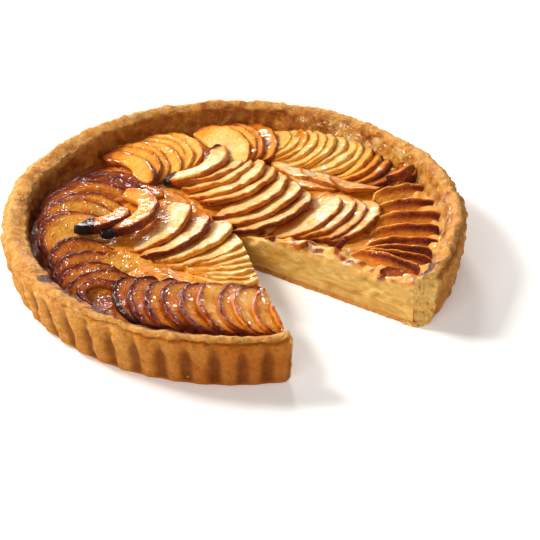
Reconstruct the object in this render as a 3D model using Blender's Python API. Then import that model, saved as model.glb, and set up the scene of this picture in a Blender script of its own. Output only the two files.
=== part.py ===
"""Baked tart: a fluted shortcrust shell, an apple and custard filling, and fans of sliced apple.

One eighth of the tart has been cut out, so the shell, the filling and the fans all end at two
radial knife cuts. Lengths are in millimetres here and become metres when a mesh is made.
+Z is up, and the origin is under the middle of the tart, on the surface it stands on.
"""

from math import atan2, ceil, cos, hypot, pi, radians, sin

import bmesh
import bpy
import random

MM = 0.001
CLEARANCE = 0.35  # gap between two pieces that touch

# The tart as a whole
OUTER_RADIUS = 130.0
RIM_HEIGHT = 33.2
RIM_TILT = 1.3  # the rim stands this much higher at the back than in front
RIM_TILT_TOWARDS = radians(60)

# The missing portion, between the right-hand cut and the front cut
CUT_RIGHT = radians(-34.0)
CUT_FRONT = radians(360 - 75.4)
WALL_BREAK = radians(-31.2)  # the wall broke off a little past the knife

# Fluting of the outer wall
FLUTES = 54
FLUTE_DEPTH = 2.2
FLUTE_PHASE = radians(-87.8)  # one groove lies here
FLUTE_TOP = 29.0
FLUTE_FADE = 7.0

# Pastry section as (radius, height): the outer side upwards, then the inner side downwards
WALL_OUTSIDE = [(122.4, 0.0), (124.9, 1.8), (127.2, 10.0), (129.2, 19.5), (130.0, 26.5)]
RIM_OUTER_EDGE = (129.2, -3.0)  # heights here are measured from the rim's top
RIM_CREST = (125.6, 0.0)
RIM_INNER_EDGE = (121.6, -1.6)
WALL_INSIDE = [(119.4, 25.5), (118.0, 17.0), (115.6, 8.0), (109.0, 4.4)]
BASE_THICKNESS = 4.2

# Filling
FILLING_CENTRE = 18.2
FILLING_TOP = 21.0
FILLING_ROWS = [14.0, 28.0, 41.0, 54.0, 66.0, 78.0, 90.0, 101.0, 110.0]
FILLING_COLUMNS = 64

# Apple slices
APPLES_REACH = 115.6  # the slices end at this radius
SLICE_ROOT = 12.0  # depth to which a slice is made before it is fitted to the filling
ARC_POINTS = 9
SETTLE = 0.6  # a slice's straight edge lies this far above the filling


def smooth_step(low, high, value):
    t = min(1.0, max(0.0, (value - low) / (high - low)))
    return t * t * (3 - 2 * t)


def polar(radius, angle):
    return radius * cos(angle), radius * sin(angle)


# ---------------------------------------------------------------- blender helpers


def clear_scene():
    for obj in list(bpy.data.objects):
        bpy.data.objects.remove(obj, do_unlink=True)


def material(name, colour, roughness):
    made = bpy.data.materials.new(name)
    made.use_nodes = True
    shader = made.node_tree.nodes["Principled BSDF"]
    shader.inputs["Base Color"].default_value = (*colour, 1.0)
    shader.inputs["Roughness"].default_value = roughness
    shader.inputs["Metallic"].default_value = 0.0
    return made


def solid(name, points, faces, look=None):
    """An object of this mesh, given in millimetres, with its faces pointing out."""
    mesh = bpy.data.meshes.new(name)
    mesh.from_pydata([[c * MM for c in p] for p in points], [], faces)
    shape = bmesh.new()
    shape.from_mesh(mesh)
    bmesh.ops.recalc_face_normals(shape, faces=shape.faces)
    shape.to_mesh(mesh)
    shape.free()
    obj = bpy.data.objects.new(name, mesh)
    bpy.context.scene.collection.objects.link(obj)
    if look:
        mesh.materials.append(look)
    return obj


def apply_modifiers(obj):
    graph = bpy.context.evaluated_depsgraph_get()
    mesh = bpy.data.meshes.new_from_object(obj.evaluated_get(graph))
    obj.modifiers.clear()
    obj.data = mesh


def remove(objects):
    for obj in objects:
        bpy.data.objects.remove(obj, do_unlink=True)


def boolean(obj, operation, other):
    """Cuts or trims obj by another object, and keeps that other object."""
    change = obj.modifiers.new(operation.title(), "BOOLEAN")
    change.operation = operation
    change.solver = "EXACT"
    change.object = other
    apply_modifiers(obj)


def join_solids(first, others):
    """One Boolean union of the first object with all the others, which are then removed."""
    if not others:
        return
    group = bpy.data.collections.new(first.name + "_pieces")
    for obj in others:
        group.objects.link(obj)
    union = first.modifiers.new("Union", "BOOLEAN")
    union.operation = "UNION"
    union.solver = "EXACT"
    union.operand_type = "COLLECTION"
    union.collection = group
    apply_modifiers(first)
    remove(others)
    bpy.data.collections.remove(group)


def keep_largest_body(obj):
    """Drops the loose scraps that a cut leaves beside the main body."""
    shape = bmesh.new()
    shape.from_mesh(obj.data)
    bmesh.ops.remove_doubles(shape, verts=shape.verts, dist=0.00002)
    left = set(shape.verts)
    bodies = []
    while left:
        body, edge_of_body = set(), [left.pop()]
        while edge_of_body:
            vert = edge_of_body.pop()
            body.add(vert)
            for edge in vert.link_edges:
                other = edge.other_vert(vert)
                if other in left:
                    left.remove(other)
                    edge_of_body.append(other)
        bodies.append(body)
    bodies.sort(key=len)
    scraps = [vert for body in bodies[:-1] for vert in body]
    bmesh.ops.delete(shape, geom=scraps, context="VERTS")
    shape.to_mesh(obj.data)
    shape.free()


# ---------------------------------------------------------------- surfaces built of rows


def angles_between(first, last, columns):
    return [first + (last - first) * i / columns for i in range(columns + 1)]


def zip_rows(faces, lower, upper, lower_angles, upper_angles):
    """Triangles between two rows of points that may hold different numbers of points."""
    i = j = 0
    while i < len(lower) - 1 or j < len(upper) - 1:
        lower_next = lower_angles[i + 1] if i < len(lower) - 1 else 99.0
        upper_next = upper_angles[j + 1] if j < len(upper) - 1 else 99.0
        if lower_next <= upper_next:
            faces.append((lower[i], lower[i + 1], upper[j]))
            i += 1
        else:
            faces.append((lower[i], upper[j + 1], upper[j]))
            j += 1


class RowSurface:
    """A closed solid made of rows of points round the tart, from one knife cut to the other."""

    def __init__(self):
        self.points, self.faces, self.rows = [], [], []

    def add_row(self, angles, place):
        start = len(self.points)
        self.points += [place(angle) for angle in angles]
        self.rows.append((list(range(start, start + len(angles))), angles))

    def add_centre(self, height):
        self.points.append((0.0, 0.0, height))
        self.rows.append(([len(self.points) - 1], [CUT_RIGHT]))

    def close(self, turning_row):
        """Joins the rows, and closes both ends. Rows run from the bottom centre, out to the
        turning row at the top, and back in to the top centre."""
        for (lower, lower_angles), (upper, upper_angles) in zip(self.rows, self.rows[1:]):
            zip_rows(self.faces, lower, upper, lower_angles, upper_angles)
        for end in (0, -1):
            outer = [row[end] for row, _ in self.rows[: turning_row + 1]]
            inner = [row[end] for row, _ in self.rows[turning_row:]][::-1]
            i = j = 0
            while i < len(outer) - 1 or j < len(inner) - 1:
                step_out = self.gap(outer, i + 1, inner, j)
                step_in = self.gap(inner, j + 1, outer, i)
                if step_out <= step_in:
                    self.cap((outer[i], outer[i + 1], inner[j]))
                    i += 1
                else:
                    self.cap((outer[i], inner[j], inner[j + 1]))
                    j += 1

    def gap(self, chain, index, others, other_index):
        if index >= len(chain):
            return 1e9
        a, b = self.points[chain[index]], self.points[others[other_index]]
        return hypot(hypot(a[0] - b[0], a[1] - b[1]), a[2] - b[2])

    def cap(self, corners):
        if len(set(corners)) == 3:
            self.faces.append(corners)


# ---------------------------------------------------------------- pastry shell


def rim_height(angle):
    tilt = RIM_TILT * cos(angle - RIM_TILT_TOWARDS)
    wobble = 0.45 * sin(5 * angle + 0.6) + 0.35 * sin(11 * angle + 2.0) + 0.2 * sin(23 * angle)
    return RIM_HEIGHT + tilt + wobble


def rim_drift(angle):
    """How far the soft rim strays from a true circle, with its middle kept on the origin."""
    stray = 0.5 * sin(3 * angle + 1.0) + 0.4 * sin(7 * angle + 0.3) + 0.35 * sin(13 * angle + 1.7)
    return stray - 0.79 * cos(angle) + 0.58 * sin(angle)


def flute(angle, height):
    """Depth of the fluting: wide rounded ridges that meet in narrow grooves."""
    turn = (angle - FLUTE_PHASE) * FLUTES / 2
    groove = 1 - abs(sin(turn)) ** 0.8
    fade = 1 - smooth_step(FLUTE_TOP - FLUTE_FADE, FLUTE_TOP, height)
    return FLUTE_DEPTH * groove * fade


def flute_angles(per_flute):
    """The cut, the wall's break, then columns that follow the flutes, and the other cut."""
    step = 2 * pi / FLUTES / per_flute
    first = ceil((WALL_BREAK + 0.4 * step - FLUTE_PHASE) / step)
    inner = []
    while FLUTE_PHASE + first * step < CUT_FRONT - 0.4 * step:
        inner.append(FLUTE_PHASE + first * step)
        first += 1
    return [WALL_BREAK, *inner, CUT_FRONT]


def make_shell(look):
    shell = RowSurface()
    shell.add_centre(0.0)
    fine, medium = flute_angles(4), flute_angles(2)
    coarse = [WALL_BREAK, *angles_between(radians(-28), CUT_FRONT, 63)]
    base = [CUT_RIGHT, *angles_between(radians(-28), CUT_FRONT, 47)]

    def ring(radius, height, drift=0.0):
        return lambda a: (*polar(radius + drift * rim_drift(a) - flute(a, height), a), height)

    def rim(radius, below, drift):
        return lambda a: (*polar(radius + drift * rim_drift(a), a), rim_height(a) + below)

    def inside(radius, height, drift=0.0):
        return lambda a: (*polar(radius + drift * rim_drift(a), a), height)

    for radius, height in WALL_OUTSIDE:
        shell.add_row(fine, ring(radius, height, smooth_step(12, 30, height)))
    shell.add_row(medium, rim(*RIM_OUTER_EDGE, 1.0))
    turning_row = len(shell.rows)
    shell.add_row(medium, rim(*RIM_CREST, 1.0))
    shell.add_row(medium, rim(*RIM_INNER_EDGE, 1.2))
    for radius, height in WALL_INSIDE[:-1]:
        shell.add_row(coarse, inside(radius, height, smooth_step(20, 30, height)))
    shell.add_row(base, inside(*WALL_INSIDE[-1]))
    shell.add_centre(BASE_THICKNESS)
    shell.close(turning_row)
    return solid("pastry_shell", shell.points, shell.faces, look)


# ---------------------------------------------------------------- filling


def filling_height(x, y):
    """The uneven top of the apple and custard filling."""
    radius, angle = hypot(x, y), atan2(y, x)
    height = FILLING_CENTRE + (FILLING_TOP - FILLING_CENTRE) * smooth_step(5, 60, radius)
    height -= 1.6 * smooth_step(80, 112, radius) * smooth_step(-0.2, 0.8, sin(angle - radians(70)))
    along = x * cos(CUT_RIGHT) + y * sin(CUT_RIGHT)
    beside = -x * sin(CUT_RIGHT) + y * cos(CUT_RIGHT)
    height += 4.0 * smooth_step(8, 38, along) * (1 - smooth_step(7, 17, abs(beside)))
    height += 3.2 * smooth_step(100, 113, radius) * smooth_step(0.2, 0.9, cos(angle - radians(22)))
    height += 1.4 * smooth_step(100, 112, radius) * smooth_step(0.5, 1.0, cos(angle - radians(255)))
    height += 0.45 * sin(x / 7.3 + 1.0) * cos(y / 6.1) + 0.35 * sin((x + y) / 4.7)
    return height


def make_filling(look, name="apple_custard_filling", lift=0.0):
    """The filling, or a copy of it with its top lifted, which fits the slices to it."""
    filling = RowSurface()
    columns = angles_between(CUT_RIGHT, CUT_FRONT, FILLING_COLUMNS)
    gap = CLEARANCE
    foot = [(108.0, 4.4 + gap), (115.2 - gap, 8.0 + gap), (117.7 - gap, 17.0)]
    edge_radius = 118.0 - gap

    def ring(radius, height):
        return lambda a: (*polar(radius, a), height)

    def top(radius):
        return lambda a: (*polar(radius, a), filling_height(*polar(radius, a)) + lift)

    filling.add_centre(BASE_THICKNESS + gap)
    for radius, height in foot:
        filling.add_row(columns, ring(radius, height))
    turning_row = len(filling.rows)
    filling.add_row(columns, top(edge_radius))
    for radius in reversed(FILLING_ROWS):
        filling.add_row(columns, top(radius))
    filling.add_centre(filling_height(0.0, 0.0) + lift)
    filling.close(turning_row)
    return solid(name, filling.points, filling.faces, look)


# ---------------------------------------------------------------- apple slices

# Each fan is one apple half, sliced and pushed over so that the slices overlap like tiles.
# A key is (slice number, apex x, apex y, direction of the rounded edge in degrees,
# half width, depth, tilt in degrees); the slices between two keys are spaced evenly.
# The first slice lies on top of the second, and so on. "inner" is the width of the top slice
# where its core was cut out; the others are half moons. "square" flattens the rounded edge, and
# "raise" is how far a fan stands above the filling.
FANS = {
    "apple_fan_centre": {
        "keys": [
            (0, -7, 62, -38, 26, 25, 12),
            (2, 1, 51, -42, 26, 25, 15),
            (4, 15, 38, -36, 28, 26, 16),
            (7, 35, 10, -38, 30, 26, 16),
            (8, 52, 5, -35, 29, 26, 14),
            (11, 78, 3, -29, 25, 22, 9),
        ],
        "inner": 13,
    },
    "apple_fan_front": {
        "keys": [
            (0, 21, -86, 182, 23, 20, 14),
            (6, -39, -81, 185, 26, 23, 15),
            (9, -64, -74, 192, 24, 18, 9),
        ],
    },
    "apple_fan_left_centre": {
        "keys": [
            (0, -64, 10, -28, 26, 18, 12),
            (1, -45, 5, -25, 31, 21, 15),
            (2, -29, -4, -28, 29, 23, 16),
            (3, -19, -11, -26, 30, 24, 16),
            (5, -4, -29, -50, 27, 25, 14),
            (7, 1, -38, -66, 27, 25, 13),
            (11, 6, -56, -77, 27, 25, 8),
        ],
        "inner": 9,
    },
    "apple_curl_front_left": {
        "keys": [(0, -82, -61, 150, 13, 15, 6)],
        "inner": 6,
    },
    "apple_fan_front_left": {
        "keys": [
            (0, -78, -43, 125, 21, 18, 12),
            (2, -92, -34, 135, 22, 20, 12),
            (3, -97, -24, 145, 22, 20, 8),
        ],
    },
    "apple_fan_back": {
        "keys": [
            (0, 2, 98, 35, 25, 19, 16),
            (2, 14, 98, 24, 22, 20, 14),
            (3, 24, 100, 12, 22, 18, 10),
        ],
        "raise": 4.5,
    },
    "apple_fan_back_left": {
        "keys": [
            (0, -55, 74, 41, 25, 15, 14),
            (1, -49, 80, 38, 24, 20, 14),
            (6, -24, 98, 31, 23, 24, 8),
        ],
        "inner": 12,
    },
    "apple_fan_back_right": {
        "keys": [
            (0, 31, 94, -19, 19, 20, 14),
            (6, 63, 82, -21, 22, 22, 15),
            (11, 87, 62, -28, 21, 22, 13),
            (12, 92, 57, -31, 20, 20, 9),
        ],
    },
    "apple_loose_slice": {
        "keys": [(0, 41, 48, -119, 17, 12, 4)],
    },
    "apple_knob_right": {
        "keys": [(0, 105, 59, 12, 9, 10, 12)],
        "raise": 2.5,
    },
    "apple_fan_right": {
        "keys": [
            (0, 84, -38, 57, 20, 12, 27),
            (1, 90, -32, 68, 21, 15, 27),
            (3, 95, -17, 86, 20, 16, 27),
            (7, 91, 36, 95, 18, 15, 20),
        ],
        "square": 0.45,
    },
    "apple_scrap_right": {
        "keys": [(0, 93, -52, 57, 8, 6, 10)],
    },
    "apple_fan_left": {
        "keys": [
            (0, -104, -6, 167, 30, 22, 11),
            (1, -108, 3, 160, 31, 24, 13),
            (3, -100, 42, 131, 26, 24, 13),
            (5, -86, 58, 108, 22, 22, 8),
        ],
    },
}


def slice_of(keys, number):
    """The slice of this number, worked out between the two keys beside it."""
    for low, high in zip(keys, keys[1:]):
        if low[0] <= number <= high[0]:
            share = (number - low[0]) / (high[0] - low[0])
            return [a + (b - a) * share for a, b in zip(low[1:], high[1:])]
    return list(keys[0][1:])


def slice_frame(values, lift=0.0):
    """Middle of the straight edge, the slice's direction, its height there and its sizes."""
    apex_x, apex_y, direction, half_width, depth, tilt = values
    angle, tilt = radians(direction), radians(tilt)
    along = (cos(angle), sin(angle))
    reach = depth * cos(tilt)
    x, y = apex_x - reach * along[0], apex_y - reach * along[1]
    return x, y, along, half_width, reach, tilt, filling_height(x, y) + SETTLE + lift


def slice_outline(half_width, reach, inner, square, grow):
    """(across, along) round a half moon, or round a crescent where inner gives its width."""
    outline = []
    for i in range(ARC_POINTS):
        turn = pi * i / (ARC_POINTS - 1)
        across = (half_width + grow) * cos(turn)
        along = (reach + grow) * max(0.0, sin(turn)) ** (1 - square)
        outline.append((across, along - (grow if i in (0, ARC_POINTS - 1) else 0.0)))
    if inner:
        for i in range(1, ARC_POINTS - 2):
            turn = pi * (1 - i / (ARC_POINTS - 2))
            across = (half_width * 0.66 - grow) * cos(turn)
            outline.append((across, (reach - inner - grow) * sin(turn)))
    return outline


def slice_solid(name, values, fan, inner, grow=0.0, flat_top=None):
    """A slice as a block that reaches down into the filling, with its tilted face on top."""
    x, y, along, half_width, reach, tilt, root = slice_frame(values, fan.get("raise", 0.0))
    points = []
    outline = slice_outline(half_width, reach, inner, fan.get("square", 0.0), grow)
    for height in ("low", "high"):
        for across, forward in outline:
            px = x + forward * along[0] + across * along[1]
            py = y + forward * along[1] - across * along[0]
            top = flat_top or root + forward * sin(tilt) / cos(tilt)
            points.append((px, py, SLICE_ROOT if height == "low" else top))
    count = len(outline)
    sides = [(i, (i + 1) % count, count + (i + 1) % count, count + i) for i in range(count)]
    low, high = tuple(range(count)), tuple(range(count, 2 * count))
    return solid(name, points, [low, high, *sides])


def fan_values(fan, chance):
    """Every slice of a fan, with the small unevenness of slices pushed over by hand."""
    keys = fan["keys"]
    slices = []
    for number in range(keys[-1][0] + 1):
        values = slice_of(keys, number)
        loose = 1.0 if number else 0.0
        values[0] += loose * chance.uniform(-0.9, 0.9)
        values[1] += loose * chance.uniform(-0.9, 0.9)
        values[2] += loose * chance.uniform(-2.5, 2.5)
        values[3] += loose * chance.uniform(-1.2, 1.2)
        slices.append(values)
    return slices


def fan_solid(name, slices, fan, grow=0.0, flat_top=None):
    blocks = []
    for number, values in enumerate(slices):
        inner = fan.get("inner", 0.0) if number == 0 else 0.0
        blocks.append(slice_solid(name, values, fan, inner, grow, flat_top))
    join_solids(blocks[0], blocks[1:])
    blocks[0].name = name
    return blocks[0]


def tart_portion(name, radius, bottom, top):
    """The part of a disc that the cuts leave, as a block."""
    columns = angles_between(CUT_RIGHT, CUT_FRONT, 96)
    ring = [polar(radius, angle) for angle in columns]
    outline = [(0.0, 0.0), *ring]
    points = [(x, y, z) for z in (bottom, top) for x, y in outline]
    count = len(outline)
    faces = [(i, (i + 1) % count, count + (i + 1) % count, count + i) for i in range(count)]
    faces += [(0, i + 1, i) for i in range(1, count - 1)]
    faces += [(count, count + i, count + i + 1) for i in range(1, count - 1)]
    return solid(name, points, faces)


def make_fans(look):
    """The fans in the order they were laid: each is trimmed round those already there."""
    chance = random.Random(7)
    raised_filling = make_filling(None, "raised_filling", CLEARANCE)
    within = tart_portion("within_the_wall", APPLES_REACH, 0.0, 60.0)
    laid = []
    for name, fan in FANS.items():
        slices = fan_values(fan, chance)
        obj = fan_solid(name, slices, fan)
        boolean(obj, "INTERSECT", within)
        for other in laid:
            if boxes_meet(obj, other):
                boolean(obj, "DIFFERENCE", other)
        boolean(obj, "DIFFERENCE", raised_filling)
        keep_largest_body(obj)
        obj.data.materials.clear()
        obj.data.materials.append(look)
        laid.append(fan_solid(name + "_room", slices, fan, grow=CLEARANCE, flat_top=59.0))
    remove([raised_filling, within, *laid])


def boxes_meet(first, second):
    """Whether the two objects' outlines could touch, seen from above."""
    for axis in (0, 1):
        a = [v.co[axis] for v in first.data.vertices]
        b = [v.co[axis] for v in second.data.vertices]
        if not a or not b or max(a) < min(b) or max(b) < min(a):
            return False
    return True


def main():
    clear_scene()
    crust = material("Baked shortcrust", (0.62, 0.33, 0.11), 0.75)
    custard = material("Baked custard", (0.85, 0.62, 0.24), 0.45)
    apple = material("Glazed baked apple", (0.80, 0.47, 0.14), 0.25)
    make_shell(crust)
    make_filling(custard)
    make_fans(apple)


main()
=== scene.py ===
import random
from math import atan2, cos, degrees, exp, hypot, pi, radians, sin

import bpy
from mathutils import Matrix, Vector, noise


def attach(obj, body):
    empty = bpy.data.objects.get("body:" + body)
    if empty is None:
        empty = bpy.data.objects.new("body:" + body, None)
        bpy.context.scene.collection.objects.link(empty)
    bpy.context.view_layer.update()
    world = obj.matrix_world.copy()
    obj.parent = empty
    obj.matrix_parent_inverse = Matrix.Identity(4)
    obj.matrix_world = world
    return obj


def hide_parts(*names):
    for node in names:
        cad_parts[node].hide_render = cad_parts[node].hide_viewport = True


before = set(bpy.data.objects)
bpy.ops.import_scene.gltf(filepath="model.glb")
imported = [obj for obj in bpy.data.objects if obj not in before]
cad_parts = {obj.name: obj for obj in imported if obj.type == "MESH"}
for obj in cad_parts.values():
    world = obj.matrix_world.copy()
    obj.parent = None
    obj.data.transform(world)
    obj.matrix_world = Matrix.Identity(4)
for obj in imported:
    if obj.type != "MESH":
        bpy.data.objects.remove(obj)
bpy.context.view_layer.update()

# The tart's lengths are in millimetres and become metres where they reach the meshes. The lamps
# and the camera are placed in metres. Angles run anticlockwise round the tart's middle, from its
# right (+X).
MM = 0.001

# The cut-out portion lies between these two knife cuts. At the right one the pastry wall broke
# off a little short of the knife.
CUT_RIGHT = radians(-34.0)
CUT_FRONT = radians(284.6)
WALL_BREAK = radians(-31.2)
FRONT_CUT_DEGREES = degrees(CUT_FRONT) - 360.0
BREAK_DEGREES = degrees(WALL_BREAK)
WALL_MM_PER_DEGREE = 2.2

# The wall's grooves: how many would fill a whole circle, where one of them is, and their depth.
FLUTES = 54
FLUTE_PHASE = radians(-87.8)
FLUTE_DEPTH = 3.9
COLUMNS_PER_FLUTE = 12

RIM_HEIGHT = 33.2
RIM_MIDDLE = 121.0
BASE_RADIUS = 120.5
BASE_HEIGHT = 3.2

FILLING_RADIUS = 118.0
FILLING_FOOT = 3.4
FILLING_RISE = 16.1


# ---------------- small helpers


def smooth_step(low, high, value):
    t = min(1.0, max(0.0, (value - low) / (high - low)))
    return t * t * (3 - 2 * t)


def bump_at(value, centre, width):
    return exp(-(((value - centre) / width) ** 2))


def along_cut(x, y, cut):
    """How far out a point is, measured along a knife cut."""
    return x * cos(cut) + y * sin(cut)


def off_cut(x, y, cut):
    """How far a point is from the plane of a knife cut, with a sign for its side."""
    return -x * sin(cut) + y * cos(cut)


def beside_cut(x, y):
    """How far a point is from the nearer of the two knife cuts."""
    ahead = [abs(off_cut(x, y, cut)) for cut in (CUT_RIGHT, CUT_FRONT) if along_cut(x, y, cut) > 0]
    return min(ahead, default=hypot(x, y))


def deselect():
    if bpy.context.object and bpy.context.object.mode != "OBJECT":
        bpy.ops.object.mode_set(mode="OBJECT")
    bpy.ops.object.select_all(action="DESELECT")


def pick(obj):
    deselect()
    obj.select_set(True)
    bpy.context.view_layer.objects.active = obj


def edit(obj):
    pick(obj)
    bpy.ops.object.mode_set(mode="EDIT")


def leave_edit():
    bpy.ops.object.mode_set(mode="OBJECT")


def apply_all(obj):
    pick(obj)
    for modifier in list(obj.modifiers):
        bpy.ops.object.modifier_apply(modifier=modifier.name)


def float_attributes(mesh, lists):
    """Stores one number a vertex under each name, for the materials to read."""
    for name, values in lists.items():
        layer = mesh.attributes.get(name) or mesh.attributes.new(name, "FLOAT", "POINT")
        layer.data.foreach_set("value", values)


def roughen(obj, size_mm, height_mm):
    """Pushes the surface in and out by a soft cloudy pattern of this size and height."""
    texture = bpy.data.textures.new("uneven_%g" % size_mm, "CLOUDS")
    texture.noise_scale = size_mm * MM
    texture.noise_depth = 2
    texture.noise_basis = "IMPROVED_PERLIN"
    push = obj.modifiers.new("Uneven", "DISPLACE")
    push.texture = texture
    push.texture_coords = "LOCAL"
    push.strength = height_mm * MM
    push.mid_level = 0.5
    apply_all(obj)


def smooth_shade(obj, angle):
    pick(obj)
    bpy.ops.object.shade_smooth_by_angle(angle=radians(angle))


# ---------------- camera, floor and light

# Each lamp's name, place, size, power and colour, and whether it lights the surfaces and
# whether it shows in the glaze. The small ones make the wet glints.
WARM = (1.0, 0.97, 0.94)
LAMPS = [
    ("low_back_strip", (-0.45, 1.65, 0.22), (1.3, 0.22), 13.0, (1.0, 0.94, 0.91), True, True),
    ("back_window", (-0.95, 1.90, 0.85), (2.2, 1.1), 12.0, (1.0, 0.97, 0.95), True, False),
    ("back_glint", (-0.12, 1.28, 0.86), (0.28, 0.18), 7.0, WARM, True, True),
    ("left_glint", (-1.30, -0.75, 0.52), (0.18, 0.26), 8.0, WARM, False, True),
    ("key_glint", (-1.15, 0.45, 1.05), (0.24, 0.24), 9.0, WARM, False, True),
    ("right_back_glint", (0.95, 1.05, 1.20), (0.12, 0.12), 3.0, WARM, False, True),
    ("far_right_glint", (0.85, 1.60, 0.60), (0.10, 0.10), 1.8, WARM, False, True),
    ("high_glint", (0.10, 0.72, 1.55), (0.11, 0.11), 2.6, WARM, False, True),
    ("key_softbox", (-1.15, 0.45, 1.05), (0.55, 0.55), 34.0, (1.0, 0.96, 0.90), True, False),
    ("front_fill", (-0.55, -1.45, 0.80), (0.9, 0.7), 10.5, (1.0, 0.97, 0.93), True, False),
    ("right_fill", (1.50, -0.35, 0.80), (0.8, 0.6), 2.5, (1.0, 0.97, 0.93), True, True),
]
LAMPS_AIM = Vector((0.0, 0.0, 0.02))


def set_camera():
    bpy.ops.object.camera_add(location=(0.0199, -1.3939, 0.8764), rotation=(radians(57.7), 0, 0))
    camera = bpy.context.object
    camera.data.sensor_width = 36.0
    camera.data.lens = 193.8
    camera.data.clip_end = 20.0
    bpy.context.scene.camera = camera


def set_lamps():
    for name, place, size, power, colour, lights, shows in LAMPS:
        bpy.ops.object.light_add(type="AREA", location=place)
        lamp = bpy.context.object
        lamp.name = name
        lamp.data.shape = "RECTANGLE"
        lamp.data.size, lamp.data.size_y = size
        lamp.data.energy = power
        lamp.data.color = colour
        lamp.visible_diffuse, lamp.visible_glossy = lights, shows
        lamp.rotation_euler = (LAMPS_AIM - lamp.location).to_track_quat("-Z", "Y").to_euler()


def set_surroundings():
    world = bpy.data.worlds.new("Studio")
    bpy.context.scene.world = world
    world.use_nodes = True
    world.node_tree.nodes["Background"].inputs["Color"].default_value = (1.0, 0.93, 0.82, 1.0)
    world.node_tree.nodes["Background"].inputs["Strength"].default_value = 0.17
    bpy.context.scene.view_settings.view_transform = "Standard"


def lay_floor():
    deselect()
    bpy.ops.mesh.primitive_plane_add(size=8.0, location=(0, 0, -0.0002))
    floor = bpy.context.object
    floor.name = "pale_floor"
    look = bpy.data.materials.new("Pale floor")
    look.use_nodes = True
    shader = look.node_tree.nodes["Principled BSDF"]
    shader.inputs["Base Color"].default_value = (0.95, 0.95, 0.96, 1.0)
    shader.inputs["Roughness"].default_value = 0.85
    shader.inputs["Emission Color"].default_value = (1.0, 0.98, 0.96, 1.0)
    shader.inputs["Emission Strength"].default_value = 0.22
    floor.data.materials.append(look)


# ---------------- material helpers


class Look:
    """Builds a material's nodes with short calls."""

    def __init__(self, name):
        self.material = bpy.data.materials.new(name)
        self.material.use_nodes = True
        self.tree = self.material.node_tree
        self.shader = self.tree.nodes["Principled BSDF"]
        self.coords = self.node("ShaderNodeTexCoord").outputs["Object"]

    def node(self, kind, **settings):
        made = self.tree.nodes.new(kind)
        for key, value in settings.items():
            setattr(made, key, value)
        return made

    def link(self, value, socket):
        if isinstance(value, (int, float)):
            socket.default_value = value
        elif isinstance(value, tuple):
            socket.default_value = (*value, 1.0)[:4]
        else:
            self.tree.links.new(value, socket)

    def set(self, name, value):
        self.link(value, self.shader.inputs[name])

    def stretch(self, *scale):
        mapping = self.node("ShaderNodeMapping")
        self.tree.links.new(self.coords, mapping.inputs["Vector"])
        mapping.inputs["Scale"].default_value = scale
        return mapping.outputs["Vector"]

    def noise(self, size_mm, detail=3.0, rough=0.55, vector=None, warp=0.0):
        made = self.node("ShaderNodeTexNoise")
        self.tree.links.new(vector or self.coords, made.inputs["Vector"])
        made.inputs["Scale"].default_value = 1.0 / (size_mm * MM)
        made.inputs["Detail"].default_value = detail
        made.inputs["Roughness"].default_value = rough
        made.inputs["Distortion"].default_value = warp
        return made.outputs["Fac"]

    def cells(self, size_mm, vector):
        made = self.node("ShaderNodeTexVoronoi")
        self.tree.links.new(vector, made.inputs["Vector"])
        made.inputs["Scale"].default_value = 1.0 / (size_mm * MM)
        return made.outputs["Distance"]

    def attribute(self, name):
        return self.node("ShaderNodeAttribute", attribute_name=name).outputs["Fac"]

    def math(self, operation, *values):
        made = self.node("ShaderNodeMath", operation=operation)
        for value, socket in zip(values, made.inputs):
            self.link(value, socket)
        return made.outputs[0]

    def add(self, first, second):
        return self.math("ADD", first, second)

    def times(self, first, second):
        return self.math("MULTIPLY", first, second)

    def band(self, value, low, high, out_low=0.0, out_high=1.0):
        """Goes smoothly from one number to another, while the value goes from low to high."""
        made = self.node("ShaderNodeMapRange", interpolation_type="SMOOTHSTEP")
        for number, socket in zip((value, low, high, out_low, out_high), made.inputs):
            self.link(number, socket)
        return made.outputs["Result"]

    def mix(self, amount, first, second):
        made = self.node("ShaderNodeMix", data_type="RGBA", blend_type="MIX")
        self.link(amount, made.inputs[0])
        self.link(first, made.inputs[6])
        self.link(second, made.inputs[7])
        return made.outputs[2]

    def ramp(self, value, stops):
        made = self.node("ShaderNodeValToRGB")
        self.tree.links.new(value, made.inputs["Fac"])
        elements = made.color_ramp.elements
        while len(elements) < len(stops):
            elements.new(0.5)
        for element, (place, colour) in zip(elements, stops):
            element.position = place
            element.color = (*colour, 1.0)
        return made.outputs["Color"]

    def bump(self, heights, distance_mm, socket="Normal"):
        """Bumps for a list of (pattern, share of the distance), laid one over the other."""
        normal = None
        for pattern, share in heights:
            made = self.node("ShaderNodeBump")
            made.inputs["Strength"].default_value = 1.0
            made.inputs["Distance"].default_value = distance_mm * share * MM
            self.tree.links.new(pattern, made.inputs["Height"])
            if normal:
                self.tree.links.new(normal, made.inputs["Normal"])
            normal = made.outputs["Normal"]
        self.tree.links.new(normal, self.shader.inputs[socket])

    def soften(self, weight, depth_mm, colour_reach):
        self.set("Subsurface Weight", weight)
        self.set("Subsurface Scale", depth_mm * MM)
        self.shader.inputs["Subsurface Radius"].default_value = colour_reach

    def glaze(self, weight, roughness):
        self.set("Coat Weight", weight)
        self.set("Coat Roughness", roughness)
        self.set("Coat IOR", 1.48)


# ---------------- materials


# From pale cream, through golden and amber, to dark red-brown and black.
BAKED = [
    (0.00, (0.93, 0.64, 0.29)),
    (0.14, (0.86, 0.475, 0.120)),
    (0.28, (0.80, 0.345, 0.036)),
    (0.44, (0.63, 0.180, 0.010)),
    (0.60, (0.38, 0.078, 0.007)),
    (0.74, (0.20, 0.028, 0.006)),
    (0.87, (0.085, 0.013, 0.006)),
    (1.00, (0.018, 0.009, 0.008)),
]

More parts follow.
